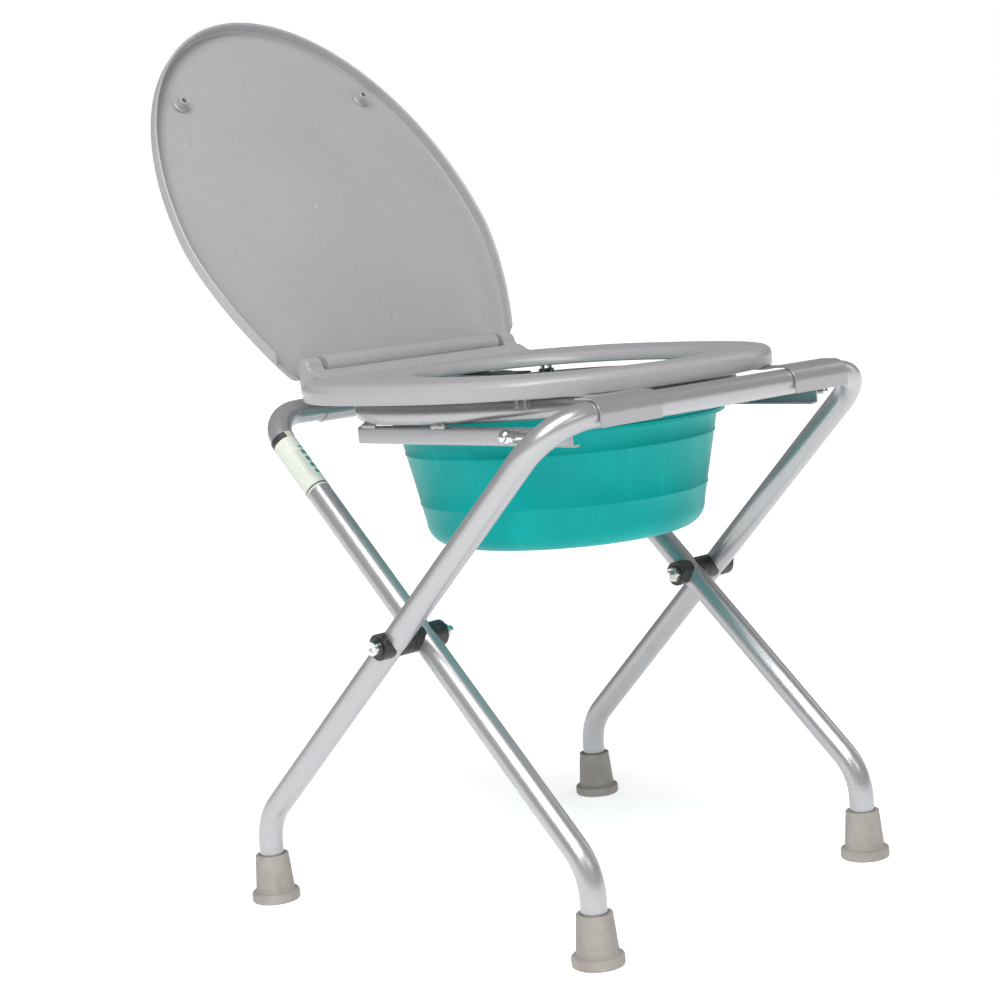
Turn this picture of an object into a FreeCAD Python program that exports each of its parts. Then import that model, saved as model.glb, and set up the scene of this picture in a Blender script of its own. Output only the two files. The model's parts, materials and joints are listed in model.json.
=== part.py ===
"""Folding commode chair: two crossed tube frames, a hinged seat with lid, and a sliding bucket.

Millimetres, +Z up. The chair is laid out about its pivot axis (x and z at y = 0), facing -Y.
At the end every piece is shifted along Y so that the origin is the centre of the base of the
whole chair's box. Left is -X and right is +X.
"""
import FreeCAD, Part
import math
import os

V = FreeCAD.Vector
X_AXIS, Y_AXIS, Z_AXIS = V(1, 0, 0), V(0, 1, 0), V(0, 0, 1)
SIDES = {"left": -1, "right": 1}

# ---- driving dimensions: frames -------------------------------------------------------------
TUBE_R = 11.0
TUBE_WALL = 1.2
PIVOT_Z = 250.6
FRONT_BAR_Y, FRONT_BAR_Z = -204.4, 437.3      # crossbar of the wide frame, under the seat's front
FRONT_BAR_HALF, REAR_FOOT_HALF = 192.5, 207.3
REAR_FOOT_Y = 193.0
REAR_BAR_Y, REAR_BAR_Z = 198.1, 436.4         # crossbar of the narrow frame, which is the hinge
REAR_BAR_HALF, FRONT_FOOT_HALF = 162.5, 170.0
FRONT_FOOT_Y = -184.5
FRONT_CORNER_R, REAR_CORNER_R, KNEE_R = 45.0, 38.0, 52.0
TUBE_END_Z = 8.0

# rubber feet
FOOT_R, FOOT_TREAD_H, FOOT_TOP_R, FOOT_H = 21.6, 10.0, 14.6, 43.0
FOOT_FLOOR = 6.4                              # rubber under the tube's end

# pivots
BOLT_R, BOLT_HOLE_R = 3.95, 4.0
CAP_R = 11.25
OUTER_CAP_X, OUTER_STEP_X, BOLT_HEAD_X = 216.0, 217.5, 223.0
OUTER_STEP_R, BOLT_HEAD_R = 8.0, 6.0
SOCKET_FLATS, SOCKET_DEPTH = 5.0, 3.2
INNER_CAP_X, NUT_FACE_X, NUT_END_X, BOLT_END_X = 147.0, 146.7, 140.2, 135.0
NUT_FLATS = 13.0
SPACER_GAP = 0.4                              # between the two frames' washers

# ---- driving dimensions: seat carrier -------------------------------------------------------
RING_R = 9.5
RING_Z = 438.0
RING_HALF, RING_WIDE_Y, RING_FRONT_Y, RING_REAR_Y = 153.0, 30.0, -172.0, 150.0
RAIL_WEB_X, RAIL_LIP_X, RAIL_T = 150.0, 142.0, 1.6
RAIL_Z0, RAIL_Z1 = 411.5, 426.5
RAIL_FRONT_Y, RAIL_REAR_Y = -183.0, 82.0
SHEET_T = 1.4
CLIP_CLEAR = 0.8                              # between the front crossbar and its saddle
CLIP_X0, CLIP_X1, CLIP_LIP_Y, CLIP_FLANGE_Z = 82.0, 150.0, -190.0, 427.5
STRAP_X0, STRAP_X1, STRAP_REAR_Y = 84.0, 112.0, -122.0
SLEEVE_X0, SLEEVE_X1 = 62.0, 100.0
SLEEVE_BORE_R, SLEEVE_R = 11.05, 12.6
SLEEVE_STRAP_Y = 124.0

# lock pins, which slide forward under the front crossbar's corners
PIN_X, PIN_Z, PIN_R, PIN_GUIDE_BORE_R, PIN_GUIDE_R = 160.0, 420.8, 2.6, 2.66, 5.0
PIN_KNOB_Y, PIN_KNOB_R, PIN_BALL_Y, PIN_BALL_R = -118.0, 6.0, -183.0, 3.15
PIN_COLLAR_Y, PIN_COLLAR_R, PIN_COLLAR_T, PIN_NECK_R = -127.0, 5.0, 3.0, 3.6
PIN_TRAVEL = 16.0
GUIDE_Y0, GUIDE_Y1 = -171.0, -149.0

# ---- driving dimensions: seat, lid and bucket -----------------------------------------------
SEAT_HALF, SEAT_WIDE_Y, SEAT_FRONT_Y, SEAT_REAR_Y = 190.4, 51.0, -191.5, 216.0
SEAT_FRONT_EXP, SEAT_REAR_EXP = 2.6, 2.05
SEAT_EDGE_Y = 188.0                           # straight back edge, along the hinge
SEAT_TOP_Z, SEAT_SKIRT_Z, SEAT_INNER_Z = 466.0, 449.0, 455.0
SEAT_WALL, SEAT_ROUND, HOLE_ROUND = 3.2, 7.0, 8.0
HOLE_HALF, HOLE_FRONT_Y, HOLE_REAR_Y = 117.0, -146.0, 116.0
HINGE_Y, HINGE_Z = 182.0, 474.8
LUG_X0, LUG_X1, LUG_R, LUG_FRONT_Y = 111.5, 128.0, 9.9, 168.0
BARREL_X, BARREL_R, NECK_HALF, CRADLE_GAP = 105.5, 10.8, 4.0, 0.6
CRADLE_Y0, CRADLE_Y1, CRADLE_TOP_Z, CRADLE_FLOOR_Z = 152.0, 168.0, 473.0, 457.5
HINGE_PIN_R, HINGE_BORE_R, HINGE_PIN_X0, HINGE_PIN_X1 = 3.0, 3.05, 92.0, 125.0
LID_LIFT = 10.5                               # from the hinge's axis to the closed lid's underside
LID_HALF, LID_WIDE, LID_TIP, LID_REAR = 183.0, 148.1, 400.0, -126.6    # along the lid from its hinge
LID_TIP_EXP, LID_REAR_EXP = 2.0, 1.6
LID_EDGE = -5.0                               # straight back edge, just behind the hinge's axis
LID_RIM, LID_PANEL, LID_WALL, LID_ROUND, LID_RIM_START = 8.8, 3.0, 3.0, 2.4, 16.0
LID_OPEN_DEG = 122.4
STUD_X, STUD_AT, STUD_R, STUD_BORE_R, STUD_H = 110.0, 306.0, 5.0, 2.7, 9.0
SNAP_FRONT_X, SNAP_REAR_X = 118.0, 110.0
SNAP_LEN, SNAP_R, SNAP_RIB_T, SNAP_RIB_GAP = 14.0, 12.0, 2.2, 3.4
BUCKET_Y, BUCKET_R, BUCKET_RIM_R, BUCKET_TAPER, BUCKET_WALL = -12.5, 139.0, 147.0, 0.21, 2.2
BUCKET_BODY_Z, RIM_Z0, RIM_Z1, BUCKET_Z, BUCKET_FILLET = 410.0, 413.5, 422.5, 315.0, 20.0
LABEL_Z0, LABEL_Z1, LABEL_T = 370.0, 415.5, 0.25


# ---- helpers --------------------------------------------------------------------------------
def cylinder(radius, start, end):
    """A solid cylinder between two points."""
    axis = end - start
    return Part.makeCylinder(radius, axis.Length, start, axis)


def box(x0, x1, y0, y1, z0, z1):
    """A block between two corners."""
    low = V(min(x0, x1), min(y0, y1), min(z0, z1))
    return Part.makeBox(abs(x1 - x0), abs(y1 - y0), abs(z1 - z0), low)


def rounded_path(points, radii):
    """Straight runs through the points, joined by tangent arcs of the given radii."""
    edges = []
    start = points[0]
    for before, corner, after, radius in zip(points, points[1:], points[2:], radii):
        u, w = (before - corner).normalize(), (after - corner).normalize()
        half = u.getAngle(w) / 2
        cut = radius / math.tan(half)
        first, last = corner + u * cut, corner + w * cut
        inward = (u + w).normalize()
        middle = corner + inward * (radius / math.sin(half) - radius)
        edges.append(Part.makeLine(start, first))
        edges.append(Part.Arc(first, middle, last).toShape())
        start = last
    edges.append(Part.makeLine(start, points[-1]))
    return Part.Wire(edges)


def swept_rod(path, radius):
    """A round rod along a path."""
    start = path.Edges[0].valueAt(path.Edges[0].FirstParameter)
    along = path.Edges[0].tangentAt(path.Edges[0].FirstParameter)
    profile = Part.Wire(Part.makeCircle(radius, start, along))
    return path.makePipeShell([profile], True, False)


def prism(profile, x0, x1):
    """A closed (y, z) outline carried along X."""
    wire = Part.makePolygon([V(x0, y, z) for y, z in profile + profile[:1]])
    return Part.Face(wire).extrude(V(x1 - x0, 0, 0))


def egg(half, wide, front, rear, front_exp, rear_exp, z, shrink=0.0):
    """A closed egg outline: superellipse halves that meet at its widest line."""
    points = []
    steps = 72
    for i in range(steps):
        angle = 2 * math.pi * (i + 0.5) / steps
        c, s = math.cos(angle), math.sin(angle)
        power = 2 / (rear_exp if s > 0 else front_exp)
        reach = (rear - wide if s > 0 else wide - front) - shrink
        x = (half - shrink) * math.copysign(abs(c) ** power, c)
        points.append(V(x, wide + reach * math.copysign(abs(s) ** power, s), z))
    curve = Part.BSplineCurve()
    curve.interpolate(Points=points, PeriodicFlag=True)
    return Part.Wire(curve.toShape())


def slab(wire, height):
    """A flat outline carried upwards."""
    return Part.Face(wire).extrude(V(0, 0, height))


def both_sides(name, make):
    """One node for each side, mirrored."""
    return {f"{name}_{side}": make(sign) for side, sign in SIDES.items()}


def hexagon(flats, x0, x1, y, z):
    """A hexagonal bar along X."""
    corner = flats / math.sqrt(3)
    angles = [math.radians(60 * i) for i in range(6)]
    return prism([(y + corner * math.cos(a), z + corner * math.sin(a)) for a in angles], x0, x1)


# ---- frames ---------------------------------------------------------------------------------
def frame_path(bar_y, bar_z, bar_half, foot_half, foot_y, corner_r):
    """Foot, knee, crossbar, knee, foot. The slanted legs pass through the pivot axis."""
    slope = (bar_z - PIVOT_Z) / bar_y
    knee_z = PIVOT_Z + foot_y * slope
    left = [V(-foot_half, foot_y, TUBE_END_Z), V(-foot_half, foot_y, knee_z), V(-bar_half, bar_y, bar_z)]
    right = [V(-p.x, p.y, p.z) for p in reversed(left)]
    return rounded_path(left + right, [KNEE_R, corner_r, corner_r, KNEE_R])


def leg_x(bar_z, bar_half, foot_half, foot_y, bar_y, z):
    """Distance of a slanted leg's centre from the middle plane at a height."""
    knee_z = PIVOT_Z + foot_y * (bar_z - PIVOT_Z) / bar_y
    return foot_half + (bar_half - foot_half) * (z - knee_z) / (bar_z - knee_z)


FRONT_PATH = frame_path(FRONT_BAR_Y, FRONT_BAR_Z, FRONT_BAR_HALF, REAR_FOOT_HALF, REAR_FOOT_Y,
                        FRONT_CORNER_R)
REAR_PATH = frame_path(REAR_BAR_Y, REAR_BAR_Z, REAR_BAR_HALF, FRONT_FOOT_HALF, FRONT_FOOT_Y,
                       REAR_CORNER_R)
OUTER_LEG_X = leg_x(FRONT_BAR_Z, FRONT_BAR_HALF, REAR_FOOT_HALF, REAR_FOOT_Y, FRONT_BAR_Y, PIVOT_Z)
INNER_LEG_X = leg_x(REAR_BAR_Z, REAR_BAR_HALF, FRONT_FOOT_HALF, FRONT_FOOT_Y, REAR_BAR_Y, PIVOT_Z)
SPACER_MID_X = (OUTER_LEG_X + INNER_LEG_X) / 2
FRONT_ROD = swept_rod(FRONT_PATH, TUBE_R)
REAR_ROD = swept_rod(REAR_PATH, TUBE_R)
PIVOT_HOLE = cylinder(BOLT_HOLE_R, V(-BOLT_HEAD_X - 1, 0, PIVOT_Z), V(BOLT_HEAD_X + 1, 0, PIVOT_Z))


def frame_tube(rod, path):
    """A bent tube with its two bolt holes."""
    return rod.cut(swept_rod(path, TUBE_R - TUBE_WALL)).cut(PIVOT_HOLE)


def rubber_foot(x, y):
    """A ribbed ferrule: wide tread, cone and a bore for the tube and its washer."""
    tread, top = FOOT_R, FOOT_TOP_R
    outline = [(0, 0), (tread - 1.2, 0), (tread, 1.4), (tread, FOOT_TREAD_H - 1.6),
               (tread - 1.4, FOOT_TREAD_H), (tread - 3.0, FOOT_TREAD_H + 0.6),
               (top + 0.6, FOOT_H - 3.0), (top, FOOT_H), (TUBE_R, FOOT_H), (TUBE_R, FOOT_FLOOR),
               (0, FOOT_FLOOR)]
    wire = Part.makePolygon([V(x + r, y, z) for r, z in outline + outline[:1]])
    return Part.Face(wire).revolve(V(x, y, 0), Z_AXIS, 360)


def foot_washers(half, y):
    """Steel discs that keep the tube ends from cutting through the rubber."""
    discs = [cylinder(TUBE_R, V(s * half, y, FOOT_FLOOR), V(s * half, y, TUBE_END_Z)) for s in (-1, 1)]
    return Part.makeCompound(discs)


# ---- pivots ---------------------------------------------------------------------------------
def saddle(side, x0, x1, rod):
    """A moulded washer that is hollowed to sit on a tube, bored for the bolt."""
    disc = cylinder(CAP_R, V(side * x0, 0, PIVOT_Z), V(side * x1, 0, PIVOT_Z))
    return disc.cut(rod).cut(PIVOT_HOLE)


def outer_spacer(side):
    return largest(saddle(side, SPACER_MID_X + SPACER_GAP / 2, OUTER_LEG_X - 4, FRONT_ROD))


def inner_spacer(side):
    return largest(saddle(side, INNER_LEG_X + 4, SPACER_MID_X - SPACER_GAP / 2, REAR_ROD))


def outer_cap(side):
    cap = saddle(side, OUTER_LEG_X + 4, OUTER_CAP_X, FRONT_ROD)
    step = cylinder(OUTER_STEP_R, V(side * OUTER_CAP_X, 0, PIVOT_Z), V(side * OUTER_STEP_X, 0, PIVOT_Z))
    return largest(cap.fuse(step.cut(PIVOT_HOLE)))


def inner_cap(side):
    return largest(saddle(side, INNER_CAP_X, INNER_LEG_X - 4, REAR_ROD))


def largest(shape):
    """The biggest solid of a cut shape."""
    return max(shape.Solids, key=lambda solid: solid.Volume)


def pivot_bolt(side):
    """A socket-head bolt whose end shows past the nut."""
    head_face, end = V(side * OUTER_STEP_X, 0, PIVOT_Z), V(side * BOLT_END_X, 0, PIVOT_Z)
    head = cylinder(BOLT_HEAD_R, head_face, V(side * BOLT_HEAD_X, 0, PIVOT_Z))
    socket = hexagon(SOCKET_FLATS, side * (BOLT_HEAD_X - SOCKET_DEPTH), side * (BOLT_HEAD_X + 1), 0, PIVOT_Z)
    return head.fuse(cylinder(BOLT_R, head_face, end)).cut(socket)


def pivot_nut(side):
    """A hexagonal nut with a round nose."""
    body = hexagon(NUT_FLATS, side * NUT_FACE_X, side * NUT_END_X, 0, PIVOT_Z)
    round_off = Part.makeCone(NUT_FLATS / 2 + 1.6, NUT_FLATS / 2 - 0.3, NUT_FACE_X - NUT_END_X,
                              V(side * NUT_FACE_X, 0, PIVOT_Z), V(-side, 0, 0))
    return body.common(round_off).cut(cylinder(BOLT_R, V(side * NUT_FACE_X, 0, PIVOT_Z),
                                               V(side * NUT_END_X, 0, PIVOT_Z)))


# ---- seat carrier ---------------------------------------------------------------------------
def ring_y(x, front):
    """Y of the ring's centre line at a distance from the middle plane."""
    reach = RING_FRONT_Y - RING_WIDE_Y if front else RING_REAR_Y - RING_WIDE_Y
    return RING_WIDE_Y + reach * math.sqrt(1 - (x / RING_HALF) ** 2)


def ring_tube():
    """The egg-shaped loop that carries the seat, welded closed at the back."""
    def half_loop(radius, front):
        reach = abs((RING_FRONT_Y if front else RING_REAR_Y) - RING_WIDE_Y)
        centre = V(0, RING_WIDE_Y, RING_Z)
        if reach > RING_HALF:
            curve = Part.Ellipse(centre + V(0, -reach, 0), centre + V(RING_HALF, 0, 0), centre)
            start, end = (-math.pi / 2, math.pi / 2)
        else:
            curve = Part.Ellipse(centre + V(RING_HALF, 0, 0), centre + V(0, reach, 0), centre)
            start, end = (0, math.pi)
        edge = Part.Edge(curve, start, end)
        profile = Part.Wire(Part.makeCircle(radius, edge.valueAt(edge.FirstParameter), Y_AXIS))
        return Part.Wire(edge).makePipeShell([profile], True, False)

    whole = half_loop(RING_R, True).fuse(half_loop(RING_R, False))
    bore = half_loop(RING_R - TUBE_WALL, True).fuse(half_loop(RING_R - TUBE_WALL, False))
    return whole.cut(bore).removeSplitter()


def side_rail(side):
    """A channel open towards the middle, which the bucket's rim slides along."""
    outer = box(side * RAIL_LIP_X, side * RAIL_WEB_X, RAIL_FRONT_Y, RAIL_REAR_Y, RAIL_Z0, RAIL_Z1)
    inner = box(side * (RAIL_LIP_X - 1), side * (RAIL_WEB_X - RAIL_T), RAIL_FRONT_Y - 1, RAIL_REAR_Y + 1,
                RAIL_Z0 + RAIL_T, RAIL_Z1 - RAIL_T)
    return outer.cut(inner)


def front_clip(side):
    """A sheet saddle over the front crossbar, with a strap back to the ring."""
    r0, r1 = TUBE_R + CLIP_CLEAR, TUBE_R + CLIP_CLEAR + SHEET_T
    y, z = FRONT_BAR_Y, FRONT_BAR_Z
    x0, length = side * CLIP_X0, side * (CLIP_X1 - CLIP_X0)

    def arc(radius, forward):
        ends = [V(x0, y - radius, z), V(x0, y, z + radius)]
        middle = V(x0, y - radius * math.sqrt(0.5), z + radius * math.sqrt(0.5))
        first, last = ends if forward else reversed(ends)
        return Part.Arc(first, middle, last).toShape()

    def lines(*points):
        return [Part.makeLine(V(x0, *a), V(x0, *b)) for a, b in zip(points, points[1:])]

    edges = [arc(r1, True)]
    edges += lines((y, z + r1), (CLIP_LIP_Y, z + r1), (CLIP_LIP_Y, z + r0), (y, z + r0))
    edges += [arc(r0, False)]
    edges += lines((y - r0, z), (y - r0, CLIP_FLANGE_Z), (y - r1, CLIP_FLANGE_Z), (y - r1, z))
    hook = Part.Face(Part.Wire(edges)).extrude(V(length, 0, 0))
    strap_z = RING_Z + RING_R
    bend_y = CLIP_LIP_Y + 7
    strap = prism([(CLIP_LIP_Y - 4, z + r0), (CLIP_LIP_Y - 4, z + r1), (bend_y, strap_z + SHEET_T),
                   (STRAP_REAR_Y, strap_z + SHEET_T), (STRAP_REAR_Y, strap_z), (bend_y, strap_z)],
                  side * STRAP_X0, side * STRAP_X1)
    return hook.fuse(strap).removeSplitter()


def hinge_sleeve(side):
    """A sheet wrapped round the rear crossbar, with a strap forward to the ring."""
    ends = [V(side * x, REAR_BAR_Y, REAR_BAR_Z) for x in (SLEEVE_X0, SLEEVE_X1)]
    strap_z = RING_Z + RING_R
    strap = box(side * SLEEVE_X0, side * SLEEVE_X1, SLEEVE_STRAP_Y, REAR_BAR_Y, strap_z, strap_z + SHEET_T)
    shell = cylinder(SLEEVE_R, *ends).fuse(strap)
    return shell.cut(cylinder(SLEEVE_BORE_R, *ends)).removeSplitter()


def weld_beads(ring, rails):
    """Lumps of weld that hang the two rails from the ring."""
    beads = []
    for side in SIDES.values():
        for y in (-26.0, 66.0):
            bead = Part.makeSphere(5.0, V(side * (RAIL_WEB_X - 1), y, RAIL_Z1 + 1.5))
            for solid in (ring, *rails):
                bead = bead.cut(solid)
            beads.append(largest(bead))
    return Part.makeCompound(beads)


def pin_guide(side):
    """A short sleeve on the rail's web, for the lock pin."""
    x = side * PIN_X
    sleeve = cylinder(PIN_GUIDE_R, V(x, GUIDE_Y0, PIN_Z), V(x, GUIDE_Y1, PIN_Z))
    foot = box(side * RAIL_WEB_X, x, GUIDE_Y0 + 3, GUIDE_Y1 - 3, PIN_Z - 3, PIN_Z + 3)
    bore = cylinder(PIN_GUIDE_BORE_R, V(x, GUIDE_Y0 - 1, PIN_Z), V(x, GUIDE_Y1 + 1, PIN_Z))
    return sleeve.fuse(foot).cut(bore)


def lock_pin(side):
    """A rod with a round knob behind and a ball at its tip."""
    def at(y):
        return V(side * PIN_X, y, PIN_Z)

    pin = cylinder(PIN_R, at(PIN_BALL_Y), at(PIN_KNOB_Y))
    pin = pin.fuse(Part.makeSphere(PIN_BALL_R, at(PIN_BALL_Y)))
    pin = pin.fuse(Part.makeSphere(PIN_KNOB_R, at(PIN_KNOB_Y)))
    pin = pin.fuse(cylinder(PIN_NECK_R, at(PIN_COLLAR_Y), at(PIN_KNOB_Y)))
    return pin.fuse(cylinder(PIN_COLLAR_R, at(PIN_COLLAR_Y - PIN_COLLAR_T), at(PIN_COLLAR_Y)))


def snap_clip(x, front, skin_z):
    """A moulded saddle on the ring, hung from the seat on two ribs."""
    y = ring_y(x, front)
    reach = RING_FRONT_Y - RING_WIDE_Y if front else RING_REAR_Y - RING_WIDE_Y
    along = V((y - RING_WIDE_Y) / reach ** 2, -x / RING_HALF ** 2, 0).normalize()
    centre = V(x, y, RING_Z)
    half = along * (SNAP_LEN / 2)
    cap = cylinder(SNAP_R, centre - half, centre + half)
    rib = Part.makeBox(SNAP_RIB_T, 2 * SNAP_R, skin_z - RING_Z)
    rib.translate(V(-SNAP_RIB_T / 2, -SNAP_R, 0))
    rib.rotate(V(0, 0, 0), Z_AXIS, math.degrees(math.atan2(along.y, along.x)))
    for offset in (-SNAP_RIB_GAP, SNAP_RIB_GAP):
        placed = rib.copy()
        placed.translate(centre + along * offset)
        cap = cap.fuse(placed)
    over = box(-SEAT_HALF, SEAT_HALF, SEAT_FRONT_Y, SEAT_REAR_Y, RING_Z, skin_z)
    hollow = cylinder(RING_R, centre - half * 1.2, centre + half * 1.2)
    return cap.common(over).cut(hollow)


def snap_clips(ring, straps):
    """Four clips that hold the seat on its ring."""
    skin_z = SEAT_TOP_Z - SEAT_WALL
    spots = [(s * x, front) for x, front in ((SNAP_FRONT_X, True), (SNAP_REAR_X, False)) for s in (-1, 1)]
    clips = []
    for x, front in spots:
        clip = snap_clip(x, front, skin_z).cut(ring)
        for strap in straps:
            clip = clip.cut(strap)
        clips.append(largest(clip))
    return Part.makeCompound(clips)


# ---- seat and lid ---------------------------------------------------------------------------
def seat_outline(z, shrink=0.0):
    return egg(SEAT_HALF, SEAT_WIDE_Y, SEAT_FRONT_Y, SEAT_REAR_Y, SEAT_FRONT_EXP, SEAT_REAR_EXP, z, shrink)


def hole_outline(z, shrink=0.0):
    middle = (HOLE_FRONT_Y + HOLE_REAR_Y) / 2
    return egg(HOLE_HALF, middle, HOLE_FRONT_Y, HOLE_REAR_Y, 2.0, 2.0, z, shrink)


def top_edges(solid, top_z):
    """The edges that lie in a solid's top face."""
    return [e for e in solid.Edges if min(e.BoundBox.ZMin, 2 * top_z - e.BoundBox.ZMax) > top_z - 1e-3]


def top_rounded(solid, top_z, radius):
    """Rounds the edges round a solid's top face."""
    return solid.makeFillet(radius, top_edges(solid, top_z))


def seat_body():
    """A moulded ring with rounded edges, hollow underneath, with two hinge lugs and a cradle."""
    height = SEAT_TOP_Z - SEAT_SKIRT_Z
    behind = box(-SEAT_HALF, SEAT_HALF, SEAT_EDGE_Y, SEAT_REAR_Y + 1, SEAT_SKIRT_Z - 1, SEAT_TOP_Z + 1)
    body = top_rounded(slab(seat_outline(SEAT_SKIRT_Z), height), SEAT_TOP_Z, SEAT_ROUND)
    body = body.cut(slab(hole_outline(SEAT_SKIRT_Z - 1), height + 2))
    rim = [e for e in top_edges(body, SEAT_TOP_Z) if e.BoundBox.XMax < HOLE_HALF + 1]
    body = body.makeFillet(HOLE_ROUND, rim).cut(behind)
    cavity = slab(seat_outline(SEAT_SKIRT_Z - 1, SEAT_WALL), height - SEAT_WALL + 1)
    cavity = cavity.cut(box(-SEAT_HALF, SEAT_HALF, SEAT_EDGE_Y - SEAT_WALL, SEAT_REAR_Y, SEAT_SKIRT_Z - 2,
                            SEAT_TOP_Z))
    cavity = cavity.cut(slab(hole_outline(SEAT_SKIRT_Z - 2, -SEAT_WALL), height + 4))
    body = body.cut(cavity)
    body = body.cut(slab(hole_outline(SEAT_SKIRT_Z - 1, -SEAT_WALL - 1), SEAT_INNER_Z - SEAT_SKIRT_Z + 1))
    for side in SIDES.values():
        lug = cylinder(LUG_R, V(side * LUG_X0, HINGE_Y, HINGE_Z), V(side * LUG_X1, HINGE_Y, HINGE_Z))
        root = box(side * LUG_X0, side * LUG_X1, LUG_FRONT_Y, SEAT_EDGE_Y, SEAT_SKIRT_Z + 2, HINGE_Z)
        body = body.fuse(lug.fuse(root))
    cradle = prism([(CRADLE_Y0, SEAT_TOP_Z - 1), (CRADLE_Y1, CRADLE_TOP_Z), (SEAT_EDGE_Y, CRADLE_TOP_Z),
                    (SEAT_EDGE_Y, CRADLE_FLOOR_Z), (CRADLE_Y1 - 8, CRADLE_FLOOR_Z)], -LUG_X0, LUG_X0)
    body = body.fuse(cradle)
    room = cylinder(BARREL_R + CRADLE_GAP, V(-LUG_X0, HINGE_Y, HINGE_Z), V(LUG_X0, HINGE_Y, HINGE_Z))
    body = body.cut(room)
    for side in SIDES.values():
        body = body.cut(cylinder(HINGE_PIN_R, V(side * HINGE_PIN_X0, HINGE_Y, HINGE_Z),
                                 V(side * HINGE_PIN_X1, HINGE_Y, HINGE_Z)))
    return largest(body)


def hinge_pin(side):
    """A plain pin through a lug into the lid's barrel."""
    return cylinder(HINGE_PIN_R, V(side * HINGE_PIN_X0, HINGE_Y, HINGE_Z),
                    V(side * HINGE_PIN_X1, HINGE_Y, HINGE_Z))


def lid_outline(z, shrink=0.0):
    return egg(LID_HALF, HINGE_Y - LID_WIDE, HINGE_Y - LID_TIP, HINGE_Y - LID_REAR, LID_TIP_EXP, LID_REAR_EXP,
               z, shrink)


def opened(shape):
    """Turns a piece of the lid from closed to its open rest position."""
    shape.rotate(V(0, HINGE_Y, HINGE_Z), X_AXIS, -LID_OPEN_DEG)
    return shape


def lid_body():
    """A shallow dish over a hinge barrel, with two hollow studs, modelled closed and then opened."""
    under = HINGE_Z + LID_LIFT
    low, top = under - LID_RIM, under + LID_PANEL
    dish = top_rounded(slab(lid_outline(low), LID_RIM + LID_PANEL), top, LID_ROUND)
    dish = dish.cut(slab(lid_outline(low - 1, LID_WALL), LID_RIM + 1))
    dish = dish.cut(box(-LID_HALF, LID_HALF, HINGE_Y - LID_EDGE, HINGE_Y - LID_REAR + 1, low - 1, top + 1))
    dish = dish.cut(box(-LID_HALF, LID_HALF, HINGE_Y - LID_RIM_START, HINGE_Y - LID_REAR + 1, low - 1, under))
    barrel = cylinder(BARREL_R, V(-BARREL_X, HINGE_Y, HINGE_Z), V(BARREL_X, HINGE_Y, HINGE_Z))
    neck = box(-BARREL_X, BARREL_X, HINGE_Y - NECK_HALF, HINGE_Y + NECK_HALF, HINGE_Z, under + 1)
    dish = dish.fuse(barrel.fuse(neck))
    for side in SIDES.values():
        foot = V(side * STUD_X, HINGE_Y - STUD_AT, under + 1)
        end = foot - V(0, 0, 1 + STUD_H)
        bore = cylinder(STUD_BORE_R, end, end + V(0, 0, STUD_H - 2))
        dish = dish.fuse(cylinder(STUD_R, end, foot)).cut(bore)
        dish = dish.cut(cylinder(HINGE_BORE_R, V(side * (HINGE_PIN_X0 - 1), HINGE_Y, HINGE_Z),
                                 V(side * (BARREL_X + 1), HINGE_Y, HINGE_Z)))
    return opened(largest(dish))


# ---- bucket ---------------------------------------------------------------------------------
def bucket():
    """A round tapered pail with an outward rim that runs in the rails."""
    def body_r(z):
        return BUCKET_R + BUCKET_TAPER * (z - BUCKET_BODY_Z)

    def point(r, z):
        return V(r, BUCKET_Y, z)

    foot_r, curve_z = body_r(BUCKET_Z), BUCKET_Z + BUCKET_FILLET
    bulge = BUCKET_FILLET * (1 - math.sqrt(0.5))
    t = BUCKET_WALL
    corner = [point(foot_r - BUCKET_FILLET, BUCKET_Z), point(foot_r - bulge + 1.2, BUCKET_Z + bulge),
              point(body_r(curve_z), curve_z)]
    inner = [point(body_r(curve_z) - t, curve_z), point(foot_r - bulge + 1.2 - t, BUCKET_Z + bulge + t),
             point(foot_r - BUCKET_FILLET, BUCKET_Z + t)]
    edges = [Part.makeLine(point(0, BUCKET_Z), corner[0]), Part.Arc(*corner).toShape()]
    rim = [corner[2], point(BUCKET_R, BUCKET_BODY_Z), point(BUCKET_R + t, RIM_Z0),
           point(BUCKET_RIM_R, RIM_Z0), point(BUCKET_RIM_R, RIM_Z1), point(BUCKET_RIM_R - t, RIM_Z1),
           point(BUCKET_RIM_R - t, RIM_Z0 + t), point(body_r(RIM_Z0 + t) - t, RIM_Z0 + t), inner[0]]
    edges += [Part.makeLine(a, b) for a, b in zip(rim, rim[1:])]
    edges += [Part.Arc(*inner).toShape(), Part.makeLine(inner[2], point(0, BUCKET_Z + t)),
              Part.makeLine(point(0, BUCKET_Z + t), point(0, BUCKET_Z))]
    return Part.Face(Part.Wire(edges)).revolve(point(0, 0), Z_AXIS, 360)


def quality_label():
    """A thin sticker wrapped round the left upper leg of the narrow frame."""
    def leg_point(z):
        x = leg_x(REAR_BAR_Z, REAR_BAR_HALF, FRONT_FOOT_HALF, FRONT_FOOT_Y, REAR_BAR_Y, z)
        return V(-x, (z - PIVOT_Z) * REAR_BAR_Y / (REAR_BAR_Z - PIVOT_Z), z)

    stretch = cylinder(2 * TUBE_R, *[leg_point(z) for z in (LABEL_Z0, LABEL_Z1)])
    return swept_rod(REAR_PATH, TUBE_R + LABEL_T).common(stretch).cut(REAR_ROD)


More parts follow.
